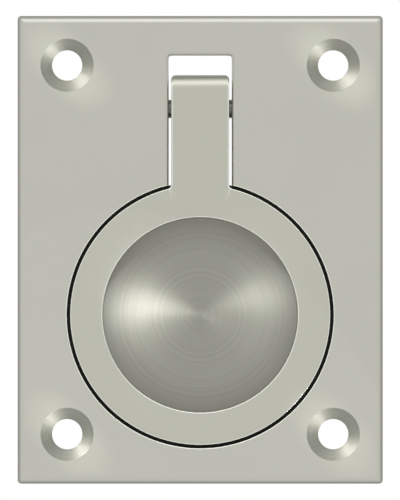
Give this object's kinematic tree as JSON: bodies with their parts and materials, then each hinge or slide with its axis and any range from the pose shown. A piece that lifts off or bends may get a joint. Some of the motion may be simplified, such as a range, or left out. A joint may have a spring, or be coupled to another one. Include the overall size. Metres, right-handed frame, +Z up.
{
  "type": "recessed ring pull",
  "caption": "Flush pull for a door or drawer: a plate with countersunk screw holes and a round recess, with a ring that lies flush in it and swings out on a cross pin.",
  "frame": {"origin": "centre of the four screw holes, in the plate's back (seating) face", "axes": "+X to the right and +Z up as seen from the front; the front faces -Y, and the cup goes back along +Y"},
  "size_m": [0.048, 0.0086, 0.0616],
  "materials": {
    "satin_nickel": "satin nickel plate on cast brass, with a lathe-turned dish and countersinks",
    "ring_nickel": "satin nickel plate on cast brass",
    "pin_steel": "plain drawn steel"
  },
  "bodies": {
    "base": {"body": "satin_nickel", "hinge_pin": "pin_steel"},
    "ring": {"pull_ring": "ring_nickel"}
  },
  "joints": [
    {"name": "ring_swing", "type": "hinge", "parent": "base", "child": "ring", "pos_m": [0, 0.0015, 0.01855], "axis": [-1, 0, 0], "range_deg": [0, 121]}
  ]
}
